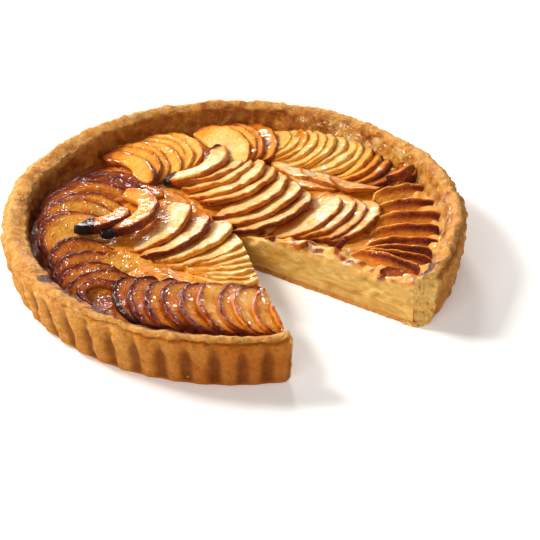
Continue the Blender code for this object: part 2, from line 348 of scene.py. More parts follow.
# The pastry's colours: outside, on the rim, inside the wall, smeared with custard, where burnt
# sugar ran on it, and where it broke.
PASTRY_OUTSIDE = [
    (0.32, (0.52, 0.175, 0.022)),
    (0.44, (0.78, 0.320, 0.045)),
    (0.56, (0.92, 0.450, 0.095)),
    (0.68, (1.0, 0.66, 0.25)),
]
PASTRY_RIM = [(0.36, (0.62, 0.22, 0.035)), (0.48, (0.85, 0.39, 0.090)), (0.62, (0.95, 0.59, 0.22))]
PASTRY_INSIDE = [
    (0.30, (0.24, 0.044, 0.007)),
    (0.46, (0.46, 0.118, 0.014)),
    (0.60, (0.62, 0.22, 0.028)),
    (0.78, (0.78, 0.38, 0.070)),
]
SMEARED = [(0.38, (0.60, 0.20, 0.016)), (0.50, (0.84, 0.42, 0.070)), (0.64, (0.92, 0.60, 0.22))]
BURNT_SUGAR = [
    (0.38, (0.035, 0.009, 0.008)),
    (0.52, (0.13, 0.034, 0.026)),
    (0.68, (0.34, 0.15, 0.12)),
]
PASTRY_TORN = [
    (0.34, (0.56, 0.19, 0.025)),
    (0.42, (0.92, 0.47, 0.10)),
    (0.52, (1.0, 0.60, 0.17)),
    (0.66, (1.0, 0.71, 0.30)),
]
CUSTARD_CUT = [
    (0.35, (0.50, 0.225, 0.030)),
    (0.45, (0.64, 0.345, 0.060)),
    (0.54, (0.76, 0.46, 0.110)),
    (0.66, (0.90, 0.63, 0.25)),
]


def crust_outside(look, patch, crumb, flaky):
    mottled = look.add(look.times(patch, 0.60), look.times(crumb, 0.40))
    broad = look.band(look.noise(20, 3, 0.6), 0.40, 0.70, 0.0, 0.5)
    # Browner where the crust baked darker, with painted shade on the front of the wall and in the
    # crease below the rim.
    browner_and_shaded = look.add(broad, look.attribute("browned_and_shaded"))
    browned_and_shaded = look.mix(browner_and_shaded, look.ramp(mottled, PASTRY_OUTSIDE), (0.60, 0.172, 0.013))
    # Painted shade: the grooves are coloured darker, as the shade that falls in them.
    groove_shade = look.band(look.attribute("groove"), 0.15, 0.95, 0.0, 0.85)
    grooved = look.mix(groove_shade, browned_and_shaded, (0.26, 0.062, 0.007))
    rimmed = look.mix(look.attribute("rim"), grooved, look.ramp(mottled, PASTRY_RIM))
    return look.mix(look.band(flaky, 0.32, 0.46, 0.40, 0.0), rimmed, (0.42, 0.125, 0.014))


def crust_look():
    look = Look("Baked shortcrust")
    patch = look.noise(4.5, 5, 0.65)
    crumb = look.noise(1.1, 5, 0.75)
    flaky = look.noise(2.6, 3, 0.6, look.stretch(1, 1, 0.45), 0.8)
    caramel = look.attribute("caramel")
    custardy = look.times(look.attribute("custardy"), look.band(look.noise(9, 3), 0.32, 0.5))
    spots = look.times(look.attribute("rusty"), look.band(look.noise(8.5, 3, 0.55), 0.47, 0.60))

    outside = crust_outside(look, patch, crumb, flaky)
    inside = look.ramp(look.noise(9, 4, 0.65), PASTRY_INSIDE)
    both = look.mix(look.attribute("inner"), outside, inside)
    smear = look.ramp(look.noise(7, 4, 0.6, None, 0.6), SMEARED)
    smeared = look.mix(custardy, both, smear)
    rusty = look.mix(look.times(spots, 0.7), smeared, (0.46, 0.125, 0.014))
    reddened = look.mix(look.band(caramel, 0.05, 0.4), rusty, (0.36, 0.090, 0.014))
    sugar = look.ramp(look.noise(1.6, 3), BURNT_SUGAR)
    burnt = look.mix(look.band(caramel, 0.35, 0.75), reddened, sugar)
    torn = look.ramp(look.noise(3.0, 5, 0.7, look.stretch(1.5, 1.5, 0.55)), PASTRY_TORN)
    look.set("Base Color", look.mix(look.attribute("torn"), burnt, torn))

    wet = look.math("MAXIMUM", look.math("MAXIMUM", caramel, spots), look.times(custardy, 0.6))
    look.set("Roughness", look.band(wet, 0.1, 0.8, 0.72, 0.22))
    look.set("Specular IOR Level", 0.2)
    look.glaze(look.band(custardy, 0.1, 0.7, 0.0, 0.7), 0.12)
    look.soften(0.04, 1.2, (1.0, 0.45, 0.15))
    wrinkles = look.noise(3.4, 4, 0.6, look.stretch(1, 1, 1.7), 1.6)
    grit = look.noise(0.5, 2)
    look.bump([(patch, 1.3), (wrinkles, 1.5), (flaky, 0.9), (crumb, 0.9), (grit, 0.10)], 1.0)
    look.bump([(look.noise(7, 0), 1.0), (look.noise(3.0, 0), 0.6)], 0.9, socket="Coat Normal")
    return look.material


def baked_roast(look, uneven):
    """How brown a place is, from the piece's own attribute and patches of two sizes."""
    broad = look.math("MULTIPLY_ADD", look.noise(9, 3, 0.6), 1.1 * uneven, -0.55 * uneven)
    small = look.math("MULTIPLY_ADD", look.noise(2.0, 3, 0.6), 0.6 * uneven, -0.3 * uneven)
    return look.add(look.attribute("roast"), look.add(broad, small))


def cut_custard(look, few_holes):
    """The custard where the knife went through: layers, holes with painted shade in them, and thin
    seams of juice.
    """
    depth = look.attribute("depth")
    flesh = look.ramp(look.noise(16, 6, 0.6, look.stretch(1, 1, 2.6), 0.5), CUSTARD_CUT)
    low = look.mix(look.band(depth, 0.62, 1.0, 0.0, 0.5), flesh, (0.58, 0.31, 0.06))
    high = look.mix(look.band(depth, 0.05, 0.40, 0.55, 0.0), low, (0.93, 0.62, 0.17))
    # Painted shade: the holes are coloured darker, as the shade inside them.
    shaded_holes = look.mix(look.times(few_holes, 0.7), high, (0.40, 0.19, 0.03))
    layer = look.noise(30, 3, 0.5, look.stretch(1, 1, 9.0))
    seams = look.times(look.band(layer, 0.485, 0.50), look.band(layer, 0.50, 0.515, 0.5, 0.0))
    broken = look.times(seams, look.band(look.noise(14, 2), 0.45, 0.6))
    return look.mix(broken, shaded_holes, (0.50, 0.23, 0.035))


def custard_look():
    look = Look("Baked custard")
    cut = look.attribute("cut")
    holes = look.band(look.cells(4.2, look.stretch(1, 1, 1.9)), 0.05, 0.14, 1.0, 0.0)
    few_holes = look.times(holes, look.band(look.noise(10, 2), 0.54, 0.60))
    baked = look.ramp(baked_roast(look, 0.30), BAKED)
    look.set("Base Color", look.mix(cut, baked, cut_custard(look, few_holes)))
    look.set("Roughness", look.band(cut, 0.2, 0.8, 0.40, 0.48))
    look.set("Specular IOR Level", 0.2)
    wet = look.math("SUBTRACT", 1.0, look.times(look.attribute("dry"), 0.85))
    look.glaze(look.times(look.band(cut, 0.2, 0.8, 0.50, 0.12), wet), 0.06)
    look.soften(0.22, 3.0, (1.0, 0.5, 0.16))
    grain = look.noise(7, 5, 0.65, look.stretch(1, 1, 3.0))
    lumps, grit, pits = look.noise(2.6, 3), look.noise(0.8, 2), look.times(few_holes, -1.0)
    look.bump([(grain, 1.3), (lumps, 0.7), (grit, 0.25), (pits, 0.9)], 0.8)
    look.bump([(look.noise(7, 0), 1.0), (look.noise(3.2, 0), 0.6)], 0.9, socket="Coat Normal")
    return look.material


def apple_look():
    look = Look("Glazed baked apple")
    roast = baked_roast(look, 0.36)
    sheen = look.attribute("sheen")
    streaks = look.noise(1.1, 3, 0.6, look.stretch(0.35, 1, 1))
    baked = look.ramp(look.math("MULTIPLY_ADD", streaks, 0.22, look.add(roast, -0.11)), BAKED)
    # Painted sheen: where the sheen attribute is set, pale whitish-pink patches on the slice tops
    # stand for the glaze's reflection.
    patchy = look.add(look.times(streaks, 0.55), look.times(look.noise(4.0, 3, 0.6), 0.45))
    painted_sheen = look.times(sheen, look.band(patchy, 0.44, 0.60))
    look.set("Base Color", look.mix(painted_sheen, baked, (1.0, 0.80, 0.64)))
    look.set("Roughness", 0.45)
    look.set("Specular IOR Level", 0.05)
    look.glaze(look.band(roast, 0.50, 0.85, 0.72, 0.46), look.band(sheen, 0.0, 0.5, 0.06, 0.12))
    look.soften(0.30, 3.0, (1.0, 0.42, 0.12))
    drops = look.band(look.noise(2.7, 2, 0.5), 0.60, 0.70)
    crusty = look.times(look.noise(1.5, 3, 0.7), look.band(roast, 0.86, 1.0, 0.0, 0.8))
    swell, ripple, grit = look.noise(4.5, 2), look.noise(1.6, 3, 0.6), look.noise(0.7, 2)
    fine = [(streaks, 0.5), (drops, 0.55), (grit, 0.2), (crusty, 1.0)]
    look.bump([(swell, 0.7), (ripple, 0.5), *fine], 0.9)
    wet = [(look.noise(6.5, 0), 0.80), (look.noise(3.0, 0), 0.52), (drops, 0.60)]
    look.bump(wet, 0.9, socket="Coat Normal")
    return look.material


# ---------------- pieces turned from a section


def turned_section(name, section, across, up, first, last, steps):
    """A flat grid shaped into the section, then spun from one cut to the other. The section
    gives (radius, height) in millimetres for a place across and up the grid, each 0 to 1."""
    deselect()
    bpy.ops.mesh.primitive_grid_add(
        x_subdivisions=across, y_subdivisions=up, size=1.0, location=(0, 0, 0)
    )
    piece = bpy.context.object
    piece.name = name
    for vertex in piece.data.vertices:
        radius, height = section(vertex.co.x + 0.5, vertex.co.y + 0.5)
        vertex.co = (radius * cos(first) * MM, radius * sin(first) * MM, height * MM)
    edit(piece)
    bpy.ops.mesh.select_all(action="SELECT")
    bpy.ops.mesh.spin(steps=steps, angle=first - last, center=(0, 0, 0), axis=(0, 0, 1))
    bpy.ops.mesh.select_all(action="SELECT")
    bpy.ops.mesh.remove_doubles(threshold=0.00002)
    bpy.ops.mesh.normals_make_consistent(inside=False)
    leave_edit()
    return piece


# ---------------- pastry


def rim_height(angle):
    tilt = 1.3 * cos(angle - radians(60))
    wobble = 0.45 * sin(5 * angle + 0.6) + 0.35 * sin(11 * angle + 2.0) + 0.2 * sin(23 * angle)
    return RIM_HEIGHT + tilt + wobble


def rim_drift(angle):
    """How far the soft rim strays from a true circle, with its middle kept on the tart's."""
    stray = 0.5 * sin(3 * angle + 1.0) + 0.4 * sin(7 * angle + 0.3) + 0.35 * sin(13 * angle + 1.7)
    return stray - 0.79 * cos(angle) + 0.58 * sin(angle)


# The wall's two sides: (share of its height, radius).
WALL_OUTSIDE = [(0.0, 122.4), (0.05, 124.9), (0.30, 127.2), (0.58, 129.2), (0.80, 130.0)]
WALL_OUTSIDE += [(0.93, 129.8), (1.0, 128.2)]
WALL_INSIDE = [(0.0, 112.0), (0.30, 113.2), (0.52, 114.2), (0.66, 115.8), (0.80, 118.0)]
WALL_INSIDE += [(0.93, 120.2), (1.0, 122.0)]


def along_profile(profile, share):
    for (a, first), (b, second) in zip(profile, profile[1:]):
        if share <= b:
            return first + (second - first) * (share - a) / (b - a)
    return profile[-1][1]


def wall_section(across, up):
    outer, inner = along_profile(WALL_OUTSIDE, up), along_profile(WALL_INSIDE, up)
    radius = outer + (inner - outer) * across
    crown = 0.9 * sin(pi * across) * smooth_step(0.9, 1.0, up)
    rounding = 0.8 * (1 - sin(pi * across)) * smooth_step(0.93, 1.0, up)
    return radius, RIM_HEIGHT * up + crown - rounding


def base_section(across, up):
    return BASE_RADIUS * across, BASE_HEIGHT * up


def groove_depth(share, z, shift):
    """How deep in a groove a place is, 0 to 1, that far across a flute and up the wall."""
    narrow = 1.15 + 1.3 * smooth_step(14, 30, z)
    fade = 1 - 0.35 * smooth_step(17, 28, z) - 0.65 * smooth_step(28.0, 32.0, z + shift * 20)
    return (0.5 + 0.5 * cos(2 * pi * share)) ** narrow * fade


def how_fluted(at):
    """The flutes are deep round the front, less so at the back, and faint at the two sides."""
    front = 0.75 * smooth_step(-178, -150, at) * smooth_step(-55, -72, at)
    back = 0.6 * smooth_step(25, 50, at) * smooth_step(155, 130, at)
    return 0.25 + front + back


def crease_height(angle):
    """Where the fold runs that the tin's edge left below the rim."""
    wander = noise.noise(Vector((angle * 9, 0, 0))), noise.noise(Vector((angle * 37, 4, 0)))
    return 31.4 + 1.0 * wander[0] + 0.5 * wander[1]


# Where burnt caramel ran on the rim: angle in degrees, its half length, how far out it reaches.
CARAMEL = [
    (-147.0, 2.6, 127.5),
    (-137, 6, 123.0),
    (-123, 8, 124.8),
    (-108, 9, 125.0),
    (-28, 5, 124.5),
]


def caramel_stain(side, radius, z, place):
    stain = 0.0
    for centre, half, reach in CARAMEL:
        ragged = 2.0 * noise.noise(place / 3.0)
        along = smooth_step(half, half * 0.4, abs(side - centre) + 0.5 * ragged)
        stain = max(stain, along * smooth_step(reach, reach - 2.2, radius + ragged))
    drip = 3.0 * noise.noise(place / 4.0 + Vector((5, 0, 0)))
    over_edge = smooth_step(28.5, 30.5, z)
    return stain * (smooth_step(25.5, 29.5, z + drip) if radius < RIM_MIDDLE else over_edge)


# What the crust's material reads at each vertex, and what the base has of it.
CRUST_TONES = ("groove", "inner", "rim", "custardy", "rusty", "caramel", "torn", "browned_and_shaded")
BASE_TONES = {"torn": 0.3, "browned_and_shaded": 0.5}


def shape_wall(wall):
    """Presses the flutes in, gives the rim its height, its wander and its lumps, tears the
    wall's end, and notes where the crust is browner and where shade is painted on it."""
    tones = {name: [] for name in CRUST_TONES}
    chance = random.Random(3)
    depth_of = [chance.uniform(0.75, 1.15) for _ in range(FLUTES + 1)]
    shift_of = [chance.uniform(-0.06, 0.06) for _ in range(FLUTES + 1)]
    for vertex in wall.data.vertices:
        x, y, z = (c / MM for c in vertex.co)
        place, above = Vector((x, y, z)), z
        radius, angle = hypot(x, y), atan2(y, x)
        at, leftward = degrees(angle), smooth_step(0.35, 0.85, -cos(angle))
        outside = smooth_step(121.5, 125.5, radius)
        inner = smooth_step(122.0, 119.6, radius) if z > 5 else 0.0
        inner *= 1 - smooth_step(26.5, 31.0, z) * smooth_step(0.4, 0.9, -cos(angle))

        turn = (angle - FLUTE_PHASE) * FLUTES / (2 * pi)
        number = int(round(turn)) % FLUTES
        share = turn - round(turn) + shift_of[number]
        groove, fluted = groove_depth(share, z, shift_of[number]), how_fluted(at)
        ridge_head = 0.9 * bump_at(z, 28.8, 1.8) * (1 - bump_at(share, 0.0, 0.3)) * outside
        crease_at = crease_height(angle)
        crease = -2.1 * bump_at(z, crease_at, 0.65) * outside

        lump = noise.noise(place / 13.0) * 0.9 + noise.noise(place / 5.0 + Vector((7, 1, 3))) * 1.0
        fine = noise.noise(place / 2.3) * 0.8
        move = rim_drift(angle) * smooth_step(10, 30, z)
        move += (lump + fine) * smooth_step(0.2, 4, z) * (1 if radius > RIM_MIDDLE else -1)
        pressed = -FLUTE_DEPTH * fluted * depth_of[number] * groove
        move += (pressed + ridge_head + crease) * outside
        move -= 3.2 * leftward * smooth_step(20, 30, z) * smooth_step(125, 121, radius)
        radius += move
        lift = (rim_height(angle) - RIM_HEIGHT) * smooth_step(14, 33, z)
        crumbly = 1.1 * noise.noise(place / 6.0 + Vector((0, 9, 0))) + 0.5 * fine
        z += lift + crumbly * smooth_step(28, 33, z)

        from_break = (at - BREAK_DEGREES) * WALL_MM_PER_DEGREE
        from_front = abs(at - FRONT_CUT_DEGREES) * WALL_MM_PER_DEGREE
        at_break = smooth_step(4.5, 0.0, from_break) if -0.7 < angle < 0.5 else 0.0
        at_front = smooth_step(0.6, 0.0, from_front)
        corner = max(smooth_step(29, 33, z), smooth_step(4, 0, z), smooth_step(126.5, 130, radius))
        angle -= radians(0.9) * corner ** 2 * smooth_step(4.84, 0.0, from_front)
        if at_break > 0:
            ragged = noise.noise(place / 3.0 + Vector((3, 3, 3))) * 1.7
            ragged += noise.noise(place / 1.2) * 0.8 + 1.1 * sin(z / 5.0)
            angle += at_break * (ragged - 5.4 * smooth_step(126, 118, radius)) / radius
        vertex.co = (radius * cos(angle) * MM, radius * sin(angle) * MM, max(0.0, z) * MM)

        side = degrees(angle)
        on_top = smooth_step(30.0 - 3 * leftward, 32.5 - 3 * leftward, z)
        rim = 0.85 * on_top * smooth_step(119.0 - 4 * leftward, 122.0 - 4 * leftward, radius)
        on_rim = bump_at(radius, RIM_MIDDLE, 2.6) * smooth_step(24, 30, z)
        # Partly painted shade: the front of the wall, which faces away from the key lamp, is
        # coloured browner below the rim, and the crease under the rim darker. It is browner too at
        # the back, at the right and towards the foot.
        front = smooth_step(-128, -88, side) * smooth_step(-20, -60, side) * (1 - 0.9 * rim)
        back = smooth_step(40, 80, side) * smooth_step(160, 130, side)
        right = smooth_step(-45, -30, side) * smooth_step(45, 20, side)
        crease_shade = bump_at(above, crease_at, 0.8) * outside
        brown_and_shade = 0.8 * front + 0.2 * smooth_step(9, 1, z) + 0.60 * back + 0.15 * right + 0.55 * crease_shade
        to_right = smooth_step(-40, -10, side) * (1 - smooth_step(55, 80, side))
        # The groove tone is painted shade in the grooves.
        tones["groove"].append(groove * outside * fluted * (1 - 0.4 * smooth_step(16, 30, above)))
        tones["inner"].append(inner)
        tones["rim"].append(rim)
        tones["custardy"].append(inner * to_right)
        tones["rusty"].append(min(1.0, on_rim + 0.45 * inner))
        tones["caramel"].append(caramel_stain(side, radius, z, place))
        tones["torn"].append(smooth_step(0.5, 0.95, max(at_break, at_front)))
        tones["browned_and_shaded"].append(brown_and_shade)
    float_attributes(wall.data, tones)


def shape_base(base):
    for vertex in base.data.vertices:
        x, y, z = (c / MM for c in vertex.co)
        place = Vector((x, y, z))
        for cut, sign in ((CUT_RIGHT, -1), (CUT_FRONT, 1)):
            beside = abs(off_cut(x, y, cut))
            if beside < 1.5 and along_cut(x, y, cut) > 3:
                crumbly = noise.noise(place / 2.4) * 0.9 + noise.noise(place / 0.9) * 0.5 - 0.4
                push = crumbly * (1 - beside / 1.5) * sign
                x, y = x - sin(cut) * push, y + cos(cut) * push
        vertex.co = (x * MM, y * MM, z * MM)
    count = len(base.data.vertices)
    float_attributes(base.data, {name: [BASE_TONES.get(name, 0.0)] * count for name in CRUST_TONES})


def make_crust(look):
    steps = int(degrees(CUT_FRONT - WALL_BREAK) * FLUTES / 360 * COLUMNS_PER_FLUTE)
    wall = turned_section("crust_wall", wall_section, 11, 42, WALL_BREAK, CUT_FRONT, steps)
    shape_wall(wall)
    base = turned_section("crust_base", base_section, 60, 3, CUT_RIGHT, CUT_FRONT, 220)
    shape_base(base)
    for piece in (wall, base):
        piece.data.materials.append(look)
        smooth_shade(piece, 50)
        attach(piece, "root")
    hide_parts("pastry_shell")
    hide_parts("pastry_shell")


# ---------------- filling


def filling_height(x, y):
    """The uneven top of the filling: low in the middle and by the wall at the back left, and
    heaped along the right cut and by the wall at the right and the front."""
    radius, angle = hypot(x, y), atan2(y, x)
    height = 18.2 + 2.8 * smooth_step(5, 60, radius)
    height -= 1.6 * smooth_step(80, 112, radius) * smooth_step(-0.2, 0.8, sin(angle - radians(70)))
    along, beside = along_cut(x, y, CUT_RIGHT), off_cut(x, y, CUT_RIGHT)
    height += 4.0 * smooth_step(8, 38, along) * (1 - smooth_step(7, 17, abs(beside)))
    height += 3.2 * smooth_step(100, 113, radius) * smooth_step(0.2, 0.9, cos(angle - radians(22)))
    height += 1.4 * smooth_step(100, 112, radius) * smooth_step(0.5, 1.0, cos(angle - radians(255)))
    height += 0.45 * sin(x / 7.3 + 1.0) * cos(y / 6.1) + 0.35 * sin((x + y) / 4.7)
    return height


def filling_section(across, up):
    return FILLING_RADIUS * across, FILLING_FOOT + FILLING_RISE * up


def filling_tone(x, y, place, by_right_cut):
    """How brown the filling's top is baked, at a point and at its place before the cut's bulge."""
    radius, leftward = place.length, -cos(atan2(place.y, place.x))
    spots = smooth_step(0.0, 0.35, noise.noise(place / 6.0)) * 0.45
    tone = 0.39 + (0.14 - 0.39 + 1.3 * spots) * by_right_cut + 0.12 * smooth_step(100, 114, radius)
    tone -= 0.14 * (1 - smooth_step(22, 34, hypot(x, (y + 48) * 0.7)))
    tone += 0.20 * smooth_step(96, 106, radius) * smooth_step(0.5, 0.9, leftward)
    beside_right_wall = smooth_step(104, 111, radius) * smooth_step(-0.2, 0.5, -leftward)
    tone += (0.14 - tone) * 0.85 * beside_right_wall
    front = smooth_step(-50, -80, y) * smooth_step(105, 113, radius)
    front = max(front, 0.75 * smooth_step(34, 20, hypot(x + 84, y + 66)))
    return tone + (0.76 - tone) * front


def shape_filling(filling):
    """Gives the top its height, folds and lumps, makes the cut faces uneven, and notes where
    they are, how deep each place is, how brown, and how dry."""
    tones = {"cut": [], "depth": [], "roast": [], "dry": []}
    for vertex in filling.data.vertices:
        x, y, z = (c / MM for c in vertex.co)
        up = (z - FILLING_FOOT) / FILLING_RISE
        place, radius, leftward = Vector((x, y, 0)), hypot(x, y), -cos(atan2(y, x))
        beside = beside_cut(x, y)
        by_right_cut = 1 - smooth_step(14, 22, abs(off_cut(x, y, CUT_RIGHT)))
        by_right_cut *= smooth_step(0, 12, along_cut(x, y, CUT_RIGHT))
        folds = 1 - abs(noise.noise(place / 8.0 + Vector((4, 0, 0)))) * 2.4
        lumps = 0.9 * (folds - 0.5) + 0.6 * noise.noise(place / 3.4)
        lumps += 2.8 * by_right_cut * noise.noise(place / 10.0 + Vector((0, 3, 0)))
        top = filling_height(x, y) + lumps - 1.6 * (1 - by_right_cut) * smooth_step(0, 6, beside)
        z = FILLING_FOOT + (top - FILLING_FOOT) * up
        if beside < 0.4 and radius > 4:
            bulge = noise.noise(Vector((x, y, z * 1.6)) / 5.0) * 1.6
            bulge += noise.noise(Vector((x, y, z * 1.5)) / 2.0) * 0.6
            nearer = CUT_RIGHT if x > 40 or by_right_cut > 0.5 else CUT_FRONT
            side = -1 if nearer == CUT_RIGHT else 1
            push = side * (bulge - 0.4) * (0.35 + 0.65 * smooth_step(0.45, 0.95, up))
            x, y = x - sin(nearer) * push, y + cos(nearer) * push
        vertex.co = (x * MM, y * MM, z * MM)
        on_cut = 1.0 if up < 0.9 else 0.4 if up < 0.97 else 0.0
        tones["cut"].append(on_cut if beside < 0.4 else 0.0)
        tones["depth"].append(1 - up)
        tones["roast"].append(filling_tone(x, y, place, by_right_cut))
        tones["dry"].append(smooth_step(96, 103, radius) * smooth_step(0.45, 0.8, leftward))
    float_attributes(filling.data, tones)


def make_filling(look):
    filling = turned_section("custard", filling_section, 84, 12, CUT_RIGHT, CUT_FRONT, 320)
    shape_filling(filling)
    filling.data.materials.append(look)
    smooth_shade(filling, 50)
    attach(filling, "root")
    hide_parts("apple_custard_filling")


# ---------------- apple slices

SLICE_HALF_WIDTH = 27.0
SLICE_DEPTH = 25.0

# A key is (slice number, apex x, apex y, direction of the rounded edge in degrees,
# half width, depth, tilt in degrees); the slices between two keys are spaced evenly.
# A tone is (slice number, how brown its face is, and what the arris, the side, the band behind
# the arris, the left end and the right end add to that), from 0, pale cream, to 1, black.
# What else a fan may have:
#   thick, raise, deeper: thickness, height over the filling, and how far a slice goes on below
#     the one behind it; thicker and lift are the first two for single slices
#   lean, roll, rolled: times the tilt, and degrees of roll, for all slices or for single ones
#   square, frayed, inner: how blunt the two ends are, how uneven the rounded edge is, and how
#     wide a crescent is left where the core was cut out
#   crevice: how much darker a slice is beside the one laid over it, partly glaze pooled there and
#       partly painted shade
#   band_inside, band_reach: whether the band lies away from the arris, and its width if not
#   end_from: where the left end starts to be browner
#   burnt, blackest: (how black the left and right ends are, where that starts), the darkest tone
#   sheen: (slice number, how strong the painted whitish sheen on its top is)
#   extras: loose slices, each a key without its number, then how far it is raised, and a tone
FANS = {}
FANS["apple_fan_centre"] = {
    "keys": [
        (0, -11, 60, -38, 27, 23, 10),
        (1, -4, 57, -41, 26, 25, 15),
        (2, 1, 51, -42, 26, 25, 15),
        (4, 15, 38, -36, 28, 26, 16),
        (7, 35, 10, -38, 30, 26, 16),
        (8, 52, 5, -35, 29, 26, 14),
        (11, 78, 3, -29, 25, 22, 9),
    ],
    "tones": [
        (0, 0.08, 0.32, 0.46, 0.04, 0.08, 0.0),
        (1, 0.11, 0.28, 0.36, 0.05, 0.14, 0.16),
        (5, 0.11, 0.30, 0.40, 0.05, 0.12, 0.20),
        (6, 0.11, 0.38, 0.48, 0.05, 0.10, 0.25),
        (7, 0.11, 0.46, 0.60, 0.05, 0.08, 0.25),
        (8, 0.16, 0.34, 0.46, 0.06, 0.06, 0.14),
        (11, 0.23, 0.36, 0.46, 0.06, 0.06, 0.16),
    ],
    "inner": {0: 13},
    "sheen": [(0, 0.50), (3, 0.40), (6, 0.45), (8, 0.55), (11, 0.50)],
    "burnt": {0: (1.0, 1.2, 0.66)},
    "lift": {0: 4.0},
    "thicker": {0: 4.6},
    "square": (0.45, 0.0),
    "lean": 1.25,
    "thick": 3.0,
}
FANS["apple_fan_front"] = {
    "keys": [
        (0, 21, -86, 182, 23, 20, 14),
        (6, -39, -81, 185, 26, 23, 15),
        (9, -64, -74, 192, 24, 18, 9),
    ],
    "tones": [
        (0, 0.22, 0.08, 0.14, 0.28, 0.30, 0.24),
        (2, 0.23, 0.16, 0.26, 0.38, 0.44, 0.30),
        (4, 0.25, 0.26, 0.38, 0.44, 0.52, 0.30),
        (7, 0.34, 0.30, 0.42, 0.48, 0.44, 0.30),
        (8, 0.50, 0.36, 0.44, 0.44, 0.34, 0.28),
        (9, 0.56, 0.50, 0.50, 0.44, 0.28, 0.14),
    ],
    "square": (0.3, 0.3),
    "blackest": {9: 0.97},
    "band_reach": 4.6,
    "end_from": -0.45,
    "crevice": 0.24,
    "thick": 3.0,
}
FANS["apple_fan_left_centre"] = {
    "keys": [
        (0, -67, -5, -50, 20, 15, 6),
        (1, -44, 6, -14, 27, 29, 10),
        (2, -29, -4, -28, 29, 23, 16),
        (3, -19, -11, -26, 30, 24, 16),
        (5, -4, -29, -50, 27, 25, 14),
        (7, 1, -38, -66, 27, 25, 13),
        (11, 6, -56, -77, 27, 25, 8),
    ],
    "tones": [
        (0, 0.36, 0.30, 0.40, 0.18, 0.0, 0.1),
        (1, 0.32, 0.34, 0.42, 0.14, 0.0, 0.1),
        (2, 0.17, 0.34, 0.44, 0.06, 0.12, 0.1),
        (3, 0.13, 0.46, 0.60, 0.04, 0.30, 0.40),
        (4, 0.08, 0.18, 0.30, 0.02, 0.0, 0.10),
        (11, 0.06, 0.12, 0.26, 0.01, 0.0, 0.0),
    ],
    "inner": {0: 12, 1: 14},
    "sheen": [(0, 0.15), (1, 0.15), (2, 0.5), (3, 0.8), (4, 0.5), (5, 0.3), (6, 0.0), (11, 0.0)],
    "rolled": {0: -5, 1: -3},
    "burnt": {0: (0.0, 1.3, 0.34), 1: (0.0, 1.3, 0.64)},
    "lift": {0: 8.5, 1: 5.0},
    "thicker": {0: 6.6, 1: 5.6},
    "square": (0.35, 0.0),
    "lean": 1.25,
    "thick": 3.2,
}
FANS["apple_curl_front_left"] = {
    "keys": [(0, -84, -60, 150, 14, 17, 6)],
    "tones": [(0, 0.64, 0.15, 0.15, 0.10, 0.1, 0.1)],
    "inner": {0: 7},
    "raise": 2.5,
    "thick": 5.0,
}
FANS["apple_fan_front_left"] = {
    "keys": [
        (0, -79, -49, 122, 22, 15, 13),
        (1, -84, -41, 124, 22, 16, 13),
        (2, -89, -31, 128, 23, 18, 14),
        (3, -96, -21, 140, 22, 20, 13),
    ],
    "tones": [
        (0, 0.55, 0.32, 0.38, 0.42, 0.14, 0.05),
        (3, 0.43, 0.35, 0.40, 0.44, 0.18, 0.05),
    ],
    "crevice": 0.40,
    "square": (0.35, 0.0),
    "extras": [
        ((-68, -26, 122, 17, 11, 10, 0.5), (0.34, 0.30, 0.28, 0.14, 0.1, 0.0)),
    ],
    "raise": 1.0,
    "deeper": 6,
    "thick": 3.4,
}
FANS["apple_fan_back"] = {
    "keys": [
        (0, 2, 98, 35, 25, 19, 16),
        (2, 14, 98, 24, 22, 20, 14),
        (3, 24, 100, 12, 22, 18, 10),
    ],
    "tones": [
        (0, 0.13, 0.46, 0.42, 0.20, 0.20, 0.0),
        (1, 0.20, 0.34, 0.34, 0.12, 0.2, 0.0),
        (3, 0.36, 0.30, 0.34, 0.12, 0.2, 0.1),
    ],
    "crevice": 0.28,
    "raise": 2.5,
    "thick": 3.2,
}
FANS["apple_fan_back_left"] = {
    "keys": [
        (0, -55, 74, 41, 25, 15, 14),
        (1, -49, 80, 38, 24, 20, 14),
        (6, -24, 98, 31, 23, 24, 8),
    ],
    "tones": [
        (0, 0.22, 0.52, 0.38, 0.30, 0.32, 0.0),
        (1, 0.23, 0.34, 0.32, 0.12, 0.18, 0.0),
        (2, 0.22, 0.30, 0.28, 0.08, 0.12, 0.0),
        (3, 0.18, 0.28, 0.24, 0.06, 0.10, 0.0),
        (6, 0.15, 0.26, 0.20, 0.06, 0.10, 0.0),
    ],
    "inner": {0: 11},
    "lift": {0: 2.5},
    "thicker": {0: 6.5},
    "frayed": 0.6,
    "crevice": 0.32,
    "thick": 2.6,
}
FANS["apple_fan_back_right"] = {
    "keys": [
        (0, 31, 94, -19, 19, 20, 14),
        (6, 63, 82, -21, 22, 22, 15),
        (11, 87, 62, -28, 21, 22, 13),
        (12, 92, 57, -31, 20, 20, 9),
    ],
    "tones": [
        (0, 0.12, 0.20, 0.18, 0.02, 0.05, 0.05),
        (8, 0.08, 0.20, 0.18, 0.02, 0.05, 0.05),
        (10, 0.24, 0.34, 0.34, 0.05, 0.40, 0.05),
        (12, 0.52, 0.38, 0.34, 0.08, 0.30, 0.10),
    ],
    "frayed": 0.5,
    "crevice": 0.22,
    "square": (0.3, 0.0),
    "lean": 1.35,
    "thick": 3.2,
}
